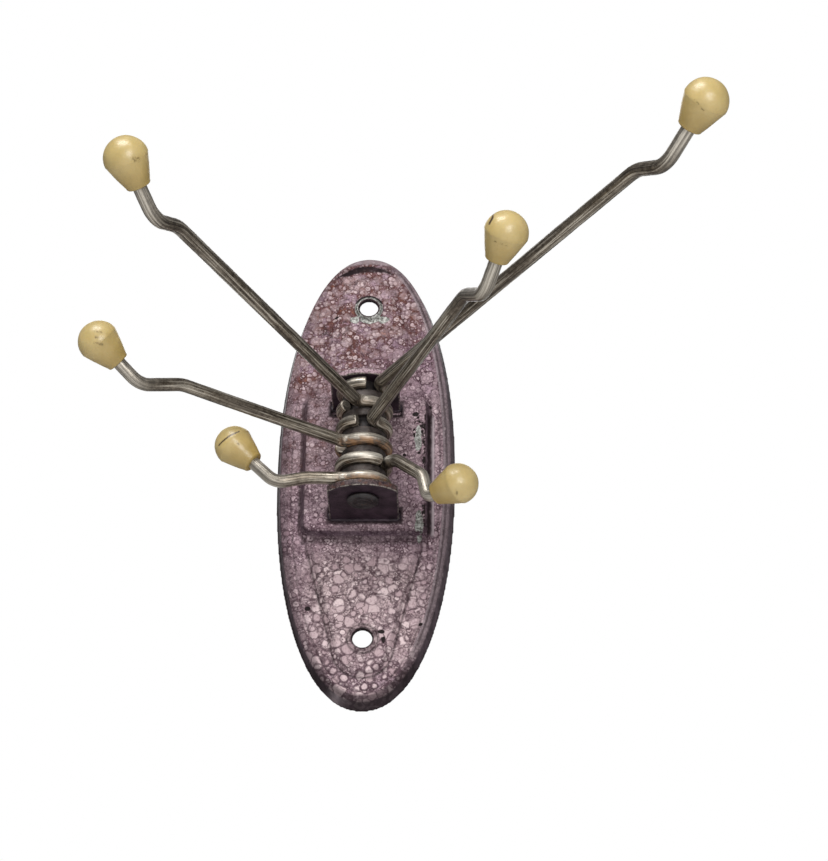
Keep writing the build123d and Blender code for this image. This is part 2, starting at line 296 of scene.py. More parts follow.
    gone = s.larger(bare, chip)
    rough = s.blend(dark, s.blend(smooth, s.ramp(grit, 0.3, 0.8, 0.42, 0.7), 0.3), 0.75)
    s.set(Base_Color=body, Roughness=s.blend(gone, rough, 0.55), Metallic=s.times(bare, 0.6))
    s.set(Specular_IOR_Level=0.08)
    height = s.times(height, s.minus(1.0, smooth))
    height = s.minus(height, s.times(gone, 0.9))
    s.set(Normal=s.bump(grit, 0.04, s.bump(height, 0.14)))
    return s.material


def bracket_enamel():
    """Dark plum film over steel, rubbed and chipped along the edges, near-black as painted shade on the
    faces turned from the front.
    """
    s = Shader("bracket_enamel")
    cloud = s.noise(5.0, detail=5.0)
    grit = s.noise(0.7, detail=5.0, roughness=0.75)
    # painted shade: the film is near-black, and only faces turned to the front get the lighter enamel,
    # so the undersides read as shaded
    film = s.mix(s.ramp(cloud, 0.3, 0.7), (0.009, 0.005, 0.008), (0.032, 0.019, 0.027))
    film = s.mix(s.ramp(grit, 0.56, 0.72, 0.0, 0.55), film, (0.11, 0.075, 0.09))
    front = s.attribute("front")
    enamel = s.mix(s.ramp(grit, 0.4, 0.6), (0.015, 0.009, 0.010), (0.085, 0.055, 0.056))
    film = s.mix(s.times(front, s.ramp(cloud, 0.3, 0.5, 0.4, 1.0)), film, enamel)
    rust = s.times(s.ramp(s.noise(3.0, detail=6.0), 0.52, 0.62), front)
    film = s.mix(s.times(rust, 0.6), film, (0.085, 0.032, 0.018))
    lilac = s.mix(s.ramp(grit, 0.4, 0.58), (0.11, 0.06, 0.075), (0.38, 0.27, 0.30))
    film = s.mix(s.attribute("fresh"), film, lilac)
    frayed = s.noise(1.2, detail=6.0, roughness=0.75)
    bare = s.ramp(s.plus(s.attribute("bare"), s.times(frayed, 0.8)), 0.86, 0.96)
    metal = s.mix(s.ramp(grit, 0.35, 0.65), (0.06, 0.045, 0.04), (0.30, 0.27, 0.24))
    body = s.mix(bare, film, metal)
    s.set(Base_Color=body, Metallic=s.times(bare, 0.7), Roughness=s.blend(bare, 0.42, 0.4))
    s.set(Specular_IOR_Level=0.22)
    s.set(Normal=s.bump(grit, 0.06, s.bump(bare, -0.05)))
    return s.material


def wire_steel():
    """Drawn wire gone grey-brown: die lines along it, partly painted highlight lines, mottled patina,
    rust in some eyes, and painted shade and highlights from the arm's masks.
    """
    s = Shader("wire_steel")
    # wrapped coordinates, without a unit: round the wire by the normal's two parts, along it by the run
    wrapped = s.node("ShaderNodeCombineXYZ")
    for socket, name in zip(wrapped.inputs, ("side", "up", "run")):
        s.feed(socket, s.attribute(name))
    die_node = s.noise_node(1.0, 5.0, 0.6, s.stretch((1.0, 1.0, 0.3), wrapped.outputs[0]))
    die_node.inputs["Scale"].default_value = DIE_LINE_SCALE
    die = die_node.outputs["Fac"]
    mottle = s.noise(1.7, detail=6.0, roughness=0.72)
    broad = s.noise(16.0, detail=3.0)
    speck = s.noise(0.5, detail=3.0, roughness=0.7)
    steel = s.mix(s.ramp(mottle, 0.32, 0.68), (0.064, 0.050, 0.036), (0.20, 0.168, 0.13))
    steel = s.mix(s.ramp(broad, 0.42, 0.65, 0.0, 0.4), steel, (0.25, 0.215, 0.172))
    # light and dark die lines along the wire: real drawing marks, and also painted highlight lines
    # standing in for the lamps' long reflections
    steel = s.mix(s.ramp(die, 0.53, 0.59, 0.0, 0.8), steel, (0.56, 0.51, 0.43))
    steel = s.mix(s.ramp(die, 0.39, 0.46, 0.7, 0.0), steel, (0.022, 0.016, 0.013))
    steel = s.mix(s.ramp(speck, 0.6, 0.72, 0.0, 0.8), steel, (0.025, 0.018, 0.014))
    rust_noise = s.noise(2.4, detail=5.0)
    streaky = s.times(s.plus(rust_noise, die), 0.5)
    rust = s.times(s.attribute("rust"), s.ramp(streaky, 0.40, 0.53))
    ochre = s.mix(s.ramp(streaky, 0.46, 0.58), (0.060, 0.023, 0.011), (0.215, 0.105, 0.038))
    steel = s.mix(s.times(rust, 0.85), steel, ochre)
    # painted shade: a painted shadow where the knob begins and painted shade inside the eye, with the
    # wire darker along the root
    dark = s.times(s.attribute("dark"), s.ramp(mottle, 0.25, 0.6, 0.75, 1.0))
    steel = s.mix(dark, steel, (0.014, 0.010, 0.008))
    # painted highlight on the eyes' upper fronts, which face the lamps, and paler polished wire near the
    # knobs
    bright = s.times(s.attribute("bright"), s.ramp(die, 0.4, 0.6, 0.45, 1.0))
    bright = s.times(bright, s.minus(1.0, s.times(rust, 0.8)))
    steel = s.mix(bright, steel, (0.62, 0.58, 0.51))
    rough = s.ramp(mottle, 0.25, 0.75, 0.27, 0.46)
    rough = s.plus(rough, s.times(s.larger(rust, bright), 0.2))
    metal = s.minus(0.85, s.times(s.larger(rust, dark), 0.6))
    s.set(Base_Color=steel, Roughness=rough, Metallic=metal)
    s.set(Normal=s.bump(die, 0.09, s.bump(speck, 0.03, s.bump(mottle, 0.05))))
    return s.material


def dull_steel(name, low, high):
    """Greasy dark steel of the pin and the spacers."""
    s = Shader(name)
    cloud = s.noise(2.4, detail=6.0, roughness=0.65)
    turned = s.noise(0.5, detail=2.0, source=s.stretch((0.08, 0.08, 1.0)))
    grit = s.noise(0.6, detail=3.0)
    body = s.mix(s.ramp(cloud, 0.3, 0.7), low, high)
    body = s.mix(s.ramp(turned, 0.5, 0.65, 0.0, 0.5), body, high)
    body = s.mix(s.ramp(grit, 0.54, 0.7, 0.0, 0.7), body, (0.045, 0.02, 0.012))
    s.set(Base_Color=body, Metallic=0.6, Roughness=s.ramp(cloud, 0.2, 0.8, 0.38, 0.62))
    s.set(Normal=s.bump(turned, 0.03, s.bump(grit, 0.05)))
    return s.material


def ivory_plastic():
    """Aged cream plastic: slightly translucent, browner at the neck, with stains and hairline cracks."""
    s = Shader("ivory_plastic")
    cloud = s.noise(7.0, detail=4.0)
    fine = s.noise(1.1, detail=5.0, roughness=0.65)
    along = s.attribute("along")  # 0 at the base, 1 at the crown
    cream = s.mix(s.ramp(cloud, 0.3, 0.7), (0.325, 0.232, 0.079), (0.39, 0.287, 0.110))
    crown = s.mix(s.ramp(cloud, 0.3, 0.7), (0.372, 0.28, 0.108), (0.435, 0.332, 0.142))
    body = s.mix(s.ramp(along, 0.3, 0.9), cream, crown)
    body = s.mix(s.ramp(along, 0.0, 0.5, 0.75, 0.0), body, (0.25, 0.17, 0.045))
    body = s.mix(s.ramp(fine, 0.58, 0.74, 0.0, 0.35), body, (0.27, 0.185, 0.062))
    stain = s.times(s.attribute("stain"), s.ramp(fine, 0.42, 0.62, 0.0, 0.85))
    body = s.mix(stain, body, (0.12, 0.08, 0.02))
    body = s.mix(s.attribute("crack"), body, (0.035, 0.018, 0.008))
    s.set(Base_Color=body, Roughness=s.ramp(fine, 0.3, 0.8, 0.34, 0.5))
    s.set(Subsurface_Weight=0.12, Subsurface_Scale=1.2 * MM, Subsurface_Radius=(1.0, 0.6, 0.25))
    s.set(Coat_Weight=0.12, Coat_Roughness=0.12)
    s.set(Normal=s.bump(fine, 0.05, s.bump(cloud, 0.45)))
    return s.material


def paper_white():
    """Matt pale floor with the faintest unevenness, and a little glow to keep it pale."""
    s = Shader("floor_white")
    s.set(Base_Color=s.mix(s.noise(60.0, detail=2.0), (0.86,) * 3, (0.8772,) * 3), Roughness=0.9)
    s.set(Emission_Color=(1.0, 1.0, 1.0), Emission_Strength=0.3)
    return s.material


# ---------------------------------------------------------------- mesh helpers


def vertex_places(mesh):
    places = np.empty(len(mesh.vertices) * 3)
    mesh.vertices.foreach_get("co", places)
    return places.reshape(-1, 3)


def vertex_normals(mesh):
    normals = np.empty(len(mesh.vertices) * 3)
    mesh.vertex_normals.foreach_get("vector", normals)
    return normals.reshape(-1, 3)


def put_places(mesh, places):
    mesh.vertices.foreach_set("co", np.asarray(places, np.float32).ravel())
    mesh.update()


def put_signed(mesh, name, values):
    layer = mesh.attributes.new(name, "FLOAT", "POINT")
    layer.data.foreach_set("value", values.astype(np.float32))


def put_masks(mesh, **masks):
    """Numbers from 0 to 1 for the materials to read, one attribute per mask."""
    for name, values in masks.items():
        put_signed(mesh, name, np.clip(values, 0.0, 1.0))


def highest(*values):
    return np.maximum.reduce(values)


def band(value, middle, width):
    """A soft bell of a band, 1 at its middle."""
    return np.exp(-(((value - middle) / width) ** 2))


def smooth_step(value, low, high):
    t = np.clip((value - low) / (high - low), 0.0, 1.0)
    return t * t * (3.0 - 2.0 * t)


def wobble(places, size_mm, seed=0.0):
    """Smooth noise from -1 to 1 at each place."""
    scale = 1.0 / (size_mm * MM)
    return np.array([mnoise.noise(Vector(p) * scale + Vector((seed, seed, seed))) for p in places])


def apply_modifiers(piece):
    depsgraph = bpy.context.evaluated_depsgraph_get()
    made = bpy.data.meshes.new_from_object(piece.evaluated_get(depsgraph))
    piece.modifiers.clear()
    piece.data = made


def soft_copy(node, name, voxel):
    """A finely remeshed copy of a CAD node, its sharp edges softened as thick paint leaves them."""
    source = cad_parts[node]
    piece = bpy.data.objects.new(name, source.data.copy())
    bpy.context.scene.collection.objects.link(piece)
    piece.data.materials.clear()
    remesh = piece.modifiers.new("remesh", "REMESH")
    remesh.mode = "VOXEL"
    remesh.voxel_size = voxel
    soften = piece.modifiers.new("soften", "SMOOTH")
    soften.factor = 0.5
    soften.iterations = SOFTENING_ROUNDS
    apply_modifiers(piece)
    piece.data.shade_smooth()
    return piece


def neighbours_mean(mesh, values, rounds):
    """Each vertex's value replaced by its neighbours' mean, over and over."""
    edges = np.empty(len(mesh.edges) * 2, np.int32)
    mesh.edges.foreach_get("vertices", edges)
    a, b = edges.reshape(-1, 2).T
    count = np.bincount(np.concatenate([a, b]), minlength=len(values)).astype(float)
    for _ in range(rounds):
        total = np.bincount(a, values[b], len(values)) + np.bincount(b, values[a], len(values))
        values = total / np.maximum(count, 1.0)
    return values


def edge_sharpness(mesh):
    """How far each vertex stands out from its surroundings, in mm: below 0 in inside corners."""
    places, normals = vertex_places(mesh), vertex_normals(mesh)
    mean = np.stack([neighbours_mean(mesh, places[:, k], SHARPNESS_ROUNDS) for k in range(3)], 1)
    return ((places - mean) * normals).sum(1) / MM


def dress(piece, body, slot, material, *nodes):
    """Give a piece its material, body and the CAD nodes that it stands for; its slot argument is not
    used.
    """
    piece.data.materials.clear()
    piece.data.materials.append(material)
    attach(piece, body)
    if nodes:
        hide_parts(*nodes)
    return piece


# ---------------------------------------------------------------- base plate

# the plate's layout in millimetres from its middle, x to the right and z up
HOLE_HEIGHTS = (69.75, -69.75)
OUTLINE_POWER = 2.14
OUTLINE_HALF_WIDE, OUTLINE_HALF_TALL = 33.4, 94.9
SLOT_HALF_WIDE = 13.3
SLOT_ROWS = ((20.0, 25.6), (-24.8, -19.4))
PLATFORM_MIDDLE, PLATFORM_HALF_TALL = -3.0, 27.0
PLATFORM_EDGE, PLATFORM_WALL, PLATFORM_FOOT = 22.2, 23.6, 25.0
PLATFORM_STEP = -31.0  # the shadowed step under the platform

# spots as (x, z, half width, half height): chips down to dark scale, strips worn to steel,
# and scuffs below the upper screw hole
CHIPS = (
    (-19.9, -57.5, 1.7, 1.5),
    (6.7, -66.9, 2.0, 1.3),
    (7.6, -70.2, 1.2, 2.2),
    (21.0, -63.7, 1.3, 1.1),
    (23.5, 26.1, 2.0, 1.3),
    (18.6, 20.6, 2.2, 1.6),
    (-12.5, 66.0, 1.4, 1.0),
    (14.5, 3.2, 1.3, 1.0),
)
WORN_STRIPS = ((19.6, 10.4, 1.6, 6.6), (20.2, -25.5, 1.8, 7.0))
HOLE_SCUFFS = ((-5.4, 64.6, 2.6, 2.3), (5.6, 64.6, 3.2, 2.3), (0.0, 64.6, 5.0, 2.3))


def spot(x, z, at_x, at_z, wide, tall):
    """1 at the middle of an oval spot, falling to 0 at its edge."""
    return np.clip(1.0 - np.hypot((x - at_x) / wide, (z - at_z) / tall), 0.0, 1.0)


def outline_inset(x, z):
    """How far inside the plate's oval outline a point is."""
    wide, tall = np.abs(x) / OUTLINE_HALF_WIDE, np.abs(z) / OUTLINE_HALF_TALL
    reach = (wide**OUTLINE_POWER + tall**OUTLINE_POWER) ** (1.0 / OUTLINE_POWER)
    bend = OUTLINE_POWER - 1.0
    slope = np.hypot(wide**bend / OUTLINE_HALF_WIDE, tall**bend / OUTLINE_HALF_TALL)
    return (1.0 - reach) * np.maximum(reach, 0.1) ** bend / np.maximum(slope, 1e-4)


class Face:
    """The plate's vertices, x and z in millimetres, the noises that fray its wear, and its zones."""

    def __init__(self, mesh):
        self.places, self.normals = vertex_places(mesh), vertex_normals(mesh)
        x, _, z = (self.places / MM).T
        self.x, self.z = x, z
        self.front = smooth_step(-self.normals[:, 1], 0.2, 0.6)
        self.sharp = edge_sharpness(mesh)
        self.ragged = wobble(self.places, 2.2)
        self.broad = wobble(self.places, 16.0, 7.0)
        self.fine = wobble(self.places, 0.9, 3.0)
        from_middle = np.abs(z - PLATFORM_MIDDLE)
        self.along_wall = smooth_step(PLATFORM_HALF_TALL - from_middle, 0.0, 3.0)
        self.from_top = np.hypot(x * 1.1, z - 50.0) + 0.3 * self.ragged
        self.inset = outline_inset(x, z)
        # lit_rim marks the rim's lit side for painted highlights; glint is a painted highlight on the
        # lower-left turned wall
        self.lit_rim = smooth_step(x, 3.0, 15.0) * smooth_step(z, -84.0, -68.0)
        self.glint = 0.6 * spot(x, z, -9.0, -91.0, 8.0, 4.0) * smooth_step(self.inset, 2.0, 1.2)


def film_loss(face):
    """Masks for chips down to black scale, for bare steel, and for painted shade in the slots and on the
    holes' walls.
    """
    x, z, ragged, fine = face.x, face.z, face.ragged, face.fine
    chip = highest(*(1.15 * spot(x + 0.5 * ragged, z, *row) for row in CHIPS))
    strips = [spot(x + 0.4 * ragged, z + 0.8 * fine, *row) for row in WORN_STRIPS]
    bare = highest(*(0.95 * smooth_step(strip, 0.0, 0.35) for strip in strips))
    # broken film beside the platform's right edge and round the worn strip
    seam = spot(x, z, 21.9, -8.0, 1.5, 29.0) * (x > 20.9)
    chip = highest(chip, 0.62 * smooth_step(seam, 0.0, 0.3) * (0.75 + 0.5 * ragged))
    border = smooth_step(spot(x, z, 20.0, 12.0, 3.0, 10.0), 0.05, 0.25)
    chip = highest(chip, np.where(bare > 0.4, 0.0, 0.85 * border * (0.5 + fine)))
    edge = smooth_step(np.abs(x - PLATFORM_EDGE - 0.5 * ragged - 0.3 * fine), 0.55, 0.2)
    chip = highest(chip, 0.62 * edge * face.along_wall * (z < 21.0) * (0.8 + 0.6 * fine))

    # the screw heads rubbed the holes' collars bare, the upper one more; a near-black ring of painted
    # shade lies round each collar's edge, over the upper hole's top half and faintly all round the lower
    # one
    for at_z, rubbed in zip(HOLE_HEIGHTS, (1.0, 0.45)):
        ring = np.hypot(x, z - at_z)
        bare = highest(bare, smooth_step(ring, 6.0, 4.9) * rubbed * (0.9 + 0.2 * ragged))
        above = smooth_step(z - at_z, -1.0, 3.5) if at_z > 0 else 0.45
        chip = highest(chip, 0.72 * band(ring, 5.5, 0.55) * above)

    # painted shade round the bracket's slots, where bare steel is kept away, then on the holes' walls
    black = np.zeros(len(x))
    for low_z, high_z in SLOT_ROWS:
        away = highest(np.abs(x) - SLOT_HALF_WIDE, low_z - z, z - high_z)
        black = highest(black, smooth_step(away + 0.25 * ragged, 1.5, 0.1))
    rubbed_edges = 0.3 * smooth_step(face.sharp, 0.03, 0.12) * (0.6 + 0.6 * face.broad)
    bare = highest(bare, rubbed_edges) * (1.0 - black)
    for at_z in HOLE_HEIGHTS:
        black = highest(black, smooth_step(np.hypot(x, z - at_z), 4.35, 4.0))
    for row in HOLE_SCUFFS:
        inside = spot(x + 0.5 * ragged, z + 0.5 * fine, *row)
        bare = highest(bare, 0.75 * smooth_step(inside, 0.0, 0.5))
    return chip, bare * (1.0 - black), black


def film_dirt_and_shade(face, black):
    """The mask of dark film, mostly painted shade: creases, the step under the platform, the platform's
    right wall, the brow's shadow, the slots and holes, and the rim; with a stained patch.
    """
    x, z, ragged, fine, inset = face.x, face.z, face.ragged, face.fine, face.inset
    # painted shade in inside corners and along the creases' edges, fading towards the top, and under the
    # platform's step
    inner, any_edge = smooth_step(-face.sharp, 0.012, 0.06), smooth_step(np.abs(face.sharp), 0.01, 0.04)
    crease = highest(inner, 0.5 * any_edge)
    dark = crease * (0.7 + 0.3 * ragged) * (1.0 - 0.6 * smooth_step(z, 24.0, 34.0))
    below_platform = band(z, PLATFORM_STEP, 1.2) * (np.abs(x) < 23.5)
    dark = highest(dark, 0.75 * below_platform * (0.8 + 0.4 * ragged))
    # painted shade on the platform's right wall, frayed like chipped film and eased right at its edge
    platform_wall_shade = smooth_step(np.abs(x - PLATFORM_WALL - 0.35 * ragged - 0.2 * fine), 0.9, 0.4)
    dark = highest(dark, platform_wall_shade * face.along_wall)
    dark = np.where(np.abs(x - 22.3) < 0.8, 0.55 * dark, dark)

    # painted shade: a black crescent under the top rim's brow, with faint ends; and a stained patch at
    # the left
    lens = np.clip(1.0 - ((x + 2.0) / 11.5) ** 2, 0.0, 1.0)
    arc = np.abs(z - 88.6 + x**2 / 36.0 + 0.3 * fine + 0.3 * ragged)
    crescent = smooth_step(arc - 1.3 * lens, 0.4, -0.3) * (lens > 0.0)
    ends = 0.4 * band(face.from_top, 38.9, 1.0) * (z > 84.0)
    stained = smooth_step(fine + 0.4 * ragged, 0.1, 0.4) * spot(x, z, -14.0, 60.0, 11.0, 9.0)
    dark = highest(dark, 1.1 * crescent, ends, 0.9 * stained, black)

    # painted shade on the turned edge, lighter on its lit side, which has a thin painted dark line
    # inside it; and a painted shade band along the bottom
    edge = smooth_step(inset + 0.2 * ragged, 1.2, 0.1) * (1.0 - 0.75 * face.lit_rim)
    bottom = smooth_step(inset, 4.2, 3.0) * smooth_step(-z, 70.0, 84.0)
    dark = highest(dark, 0.8 * edge, 0.85 * band(inset, 3.1, 0.42) * face.lit_rim, 0.75 * bottom)
    return dark * (1.0 - face.glint)


def film_tones(face):
    """Masks for large bubbles, for pale film and for rust."""
    x, z, broad = face.x, face.z, face.broad
    lower = smooth_step(-z, 30.0, 44.0)
    middle = smooth_step(26.0 - np.abs(x), 0.0, 12.0)
    coarse = 0.25 + 0.75 * lower * middle + 0.15 * smooth_step(z, 22.0, 34.0)
    pale = 0.36 + 0.62 * lower * (0.35 + 0.65 * middle) * smooth_step(z, -88.0, -66.0)
    pale += 0.16 * smooth_step(z, -6.0, 6.0) * smooth_step(z, 34.0, 20.0) + 0.2 * broad
    pale += 0.7 * smooth_step(spot(x, z, -6.0, 81.0, 8.0, 5.0), 0.0, 0.5)
    pale -= 0.22 * smooth_step(z, 24.0, 44.0)
    rust = highest(
        0.95 * smooth_step(z - 0.6 * x + 10.0 * broad, 18.0, 62.0),
        0.5 * smooth_step(-x, 4.0, 20.0) * smooth_step(z, -14.0, 6.0),
        smooth_step(spot(x, z, 7.0, 80.0, 11.0, 12.0), 0.0, 0.4),
    )
    return coarse, pale, rust


def smooth_film(face):
    """Masks for film without bubbles, which is near-black painted shade on walls turned from the front,
    and for its painted highlights.
    """
    rim = smooth_step(face.inset + 0.2 * face.ragged, 3.9, 3.3)
    # painted highlights: a light strip at the platform's foot, the top rim's brow, thin lines along the
    # rim's lit side, and the glint
    foot = smooth_step(np.abs(face.x - PLATFORM_FOOT), 1.0, 0.4) * face.along_wall
    brow = smooth_step(face.from_top, 40.0, 40.9) * smooth_step(face.z, 84.0, 88.0)
    lines = band(face.inset, 4.0, 0.38) + 0.6 * band(face.inset, 2.2, 0.55)
    strip = highest(0.9 * foot, 0.7 * brow, 0.9 * lines * face.lit_rim, face.glint)
    smooth = highest(rim * (0.25 + 0.4 * face.lit_rim), 1.0 - face.front, strip)
    crest = highest(rim * face.front * (0.08 + 0.37 * face.lit_rim), strip)
    return smooth, crest


def make_plate(material):
    """The pressing, its film softened over every crease, with chips, bare patches and rust."""
    piece = soft_copy("base_plate", "plate_pressing", PLATE_VOXEL)
    mesh = piece.data
    face = Face(mesh)
    front = face.front
    chip, bare, black = film_loss(face)
    coarse, pale, rust = film_tones(face)
    smooth, crest = smooth_film(face)
    put_masks(mesh, crest=crest, coarse=coarse, pale=pale * front, rust=rust, smooth=smooth)
    put_masks(mesh, dark=film_dirt_and_shade(face, black), bare=bare * front, chip=chip * front)

    # hand-dressed pressing: slight waviness, and pits where the film is gone
    sink = 0.05 * face.broad + 0.02 * face.ragged
    sink -= 0.10 * smooth_step(chip, 0.5, 0.8) + 0.05 * smooth_step(bare, 0.5, 0.8)
    put_places(mesh, face.places + face.normals * (sink * front)[:, None] * MM)
    dress(piece, WALL_BODY, "plate_enamel", material, "base_plate")
    return piece


# ---------------------------------------------------------------- bracket, pin and spacers


def make_bracket(material):
    """The U-shaped strip, rubbed along its edges, its film fresher on the upper lug."""
    piece = soft_copy("bracket", "bracket_strip", BRACKET_VOXEL)
    mesh = piece.data
    places, normals = vertex_places(mesh), vertex_normals(mesh)
    sharp = edge_sharpness(mesh)
    ragged = wobble(places, 1.6, 5.0)
    front = smooth_step(-normals[:, 1], 0.3, 0.7)
    bare = smooth_step(sharp, 0.02, 0.09) * (0.55 + 0.25 * ragged)
    put_masks(mesh, front=front, fresh=front * (places[:, 2] > 0.0), bare=bare)
    put_places(mesh, places + normals * (0.04 * ragged)[:, None] * MM)
    dress(piece, WALL_BODY, "bracket_enamel", material, "bracket")
    return piece


def make_gap_shade_bead(name, low_z, high_z, material):
    """A near-black bead that closes the gap between a lug and its slot: painted shade standing in for
    the dark gap.
    """
    half_width, corner, thickness, ahead = 13.0, 1.2, 0.62, 10.55  # millimetres
    points = []
    for centre_x, centre_z, start in (
        (half_width - corner, high_z - corner, 0),
        (corner - half_width, high_z - corner, 90),
        (corner - half_width, low_z + corner, 180),
        (half_width - corner, low_z + corner, 270),
    ):
        for step in range(7):
            turn = math.radians(start + 15 * step)
            point = (centre_x + corner * math.cos(turn), centre_z + corner * math.sin(turn))
            points.append(point)
    ring = []
    for (x0, z0), (x1, z1) in zip(points, points[1:] + points[:1]):
        steps = max(1, round(math.hypot(x1 - x0, z1 - z0) / 0.5))
        ring += [(x0 + (x1 - x0) * k / steps, z0 + (z1 - z0) * k / steps) for k in range(steps)]
    curve = bpy.data.curves.new(name, "CURVE")
    curve.dimensions = "3D"
    curve.bevel_depth = thickness * MM
    curve.bevel_resolution = 4
    spline = curve.splines.new("POLY")
    spline.points.add(len(ring) - 1)
    for point, (x, z) in zip(spline.points, ring):
        point.co = (x * MM, -ahead * MM, z * MM, 1.0)
        point.radius = 1.0 + 0.3 * mnoise.noise(Vector((x, z, 0.0)) * 0.7)
    spline.use_cyclic_u = True
    holder = bpy.data.objects.new(name, curve)
    bpy.context.scene.collection.objects.link(holder)
    depsgraph = bpy.context.evaluated_depsgraph_get()
    mesh = bpy.data.meshes.new_from_object(holder.evaluated_get(depsgraph))
    bpy.data.objects.remove(holder)
    piece = bpy.data.objects.new(name, mesh)
    bpy.context.scene.collection.objects.link(piece)
    mesh.shade_smooth()
    return dress(piece, WALL_BODY, "bracket_enamel", material)


def turned_piece(name, profile, steps, origin, axis):
    """A closed solid of revolution from (radius, height) points in metres, both ends on the axis."""
    side = axis.orthogonal().normalized()
    other = axis.cross(side)
    bm = bmesh.new()
    rings = []
    for radius, height in profile:
        centre = origin + axis * height
        if radius < 1e-7:
            rings.append([bm.verts.new(centre)])
            continue
        ring = []
        for step in range(steps):
            angle = 2.0 * math.pi * step / steps
            outward = side * math.cos(angle) + other * math.sin(angle)
            ring.append(bm.verts.new(centre + outward * radius))
        rings.append(ring)
    for low, high in zip(rings, rings[1:]):
        for step in range(steps):
            after = (step + 1) % steps
            near = (low[step % len(low)], low[after % len(low)])
            far = (high[after % len(high)], high[step % len(high)])
            # a ring that is one point on the axis gives the same corner twice
            bm.faces.new(tuple(dict.fromkeys(near + far)))
    bmesh.ops.recalc_face_normals(bm, faces=bm.faces)
    mesh = bpy.data.meshes.new(name)
    bm.to_mesh(mesh)
    bm.free()
    mesh.shade_smooth()
    piece = bpy.data.objects.new(name, mesh)
    bpy.context.scene.collection.objects.link(piece)
    return piece


# the pin's end as (radius, depth) in mm: its dished head from the tip, and its neck from the lug's face
PIN_HEAD = (
    (0.0, 0.75),
    (1.1, 0.68),
    (1.7, 0.3),
    (2.3, 0.12),
    (2.9, 0.18),
    (3.3, 0.5),
    (3.7, 0.12),
    (4.2, 0.05),
    (4.9, 0.3),
    (5.5, 0.9),
    (5.8, 1.5),
)
PIN_NECK = ((5.7, -0.06), (4.0, -0.05), (4.0, 2.56), (5.68, 2.56), (5.7, 2.7))


def make_pin(material):
    """The pin, each end peened over into a low dished head."""
    low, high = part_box("pivot_pin")
    middle = Vector(((low.x + high.x) / 2, (low.y + high.y) / 2, 0.0))
    lug_low, lug_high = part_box("bracket")
    profile = []
    for height, outward, side in ((low.z, lug_low.z, 1), (high.z, lug_high.z, -1)):
        head = [(radius * MM, height + side * depth * MM) for radius, depth in PIN_HEAD]
        head += [(radius * MM, outward + side * depth * MM) for radius, depth in PIN_NECK]
        profile += head if side == 1 else head[::-1]
    piece = turned_piece("pin_peened", profile, 96, middle, Vector((0.0, 0.0, 1.0)))
    mesh = piece.data
    places = vertex_places(mesh)
    # hammer marks on the two heads only
    at_head = (places[:, 2] < lug_low.z - 0.1 * MM) | (places[:, 2] > lug_high.z + 0.1 * MM)
    marks = wobble(places, 1.7, 11.0)
    inward = np.where(places[:, 2] < 0.0, 1.0, -1.0)
    places[:, 2] += np.where(at_head, inward * 0.22 * np.clip(marks, 0.0, 1.0), 0.0) * MM
    put_places(mesh, places)
    dress(piece, WALL_BODY, "pin_steel", material, "pivot_pin")
    return piece


# ---------------------------------------------------------------- arms and knobs


def spread_of(node):
    """Middle of a CAD node's surface, and the three directions that it is spread along."""
    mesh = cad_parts[node].data
    areas = np.array([face.area for face in mesh.polygons])
    centres = np.array([face.center for face in mesh.polygons])
    middle = (centres * areas[:, None]).sum(0) / areas.sum()
    spread = (centres - middle) * np.sqrt(areas)[:, None]
    return middle, np.linalg.eigh(spread.T @ spread)[1]


def knob_frame(number):
    """A knob's base centre, direction from base to crown, length and radius, from its CAD solid."""
    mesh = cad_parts[f"knob_{number}"].data
    middle, vectors = spread_of(f"knob_{number}")
    places = vertex_places(mesh)
    best = None
    for column in range(3):
        axis = vectors[:, column]
        reach = (places - middle) @ axis
        radial = np.linalg.norm((places - middle) - np.outer(reach, axis), axis=1)
        # round about this axis: the widest radius is met all the way round
        widest = radial > radial.max() - 0.05 * MM
        uneven = np.ptp(reach[widest])
        if best is None or uneven < best[0]:
            best = (uneven, axis, reach, radial)
    _, axis, reach, radial = best
    if reach[radial > radial.max() - 0.02 * MM].mean() < (reach.max() + reach.min()) / 2:
        axis, reach = -axis, -reach
    direction = Vector(axis).normalized()
    base = Vector(middle + axis * reach.min())
    return base, direction, reach.max() - reach.min(), radial.max()


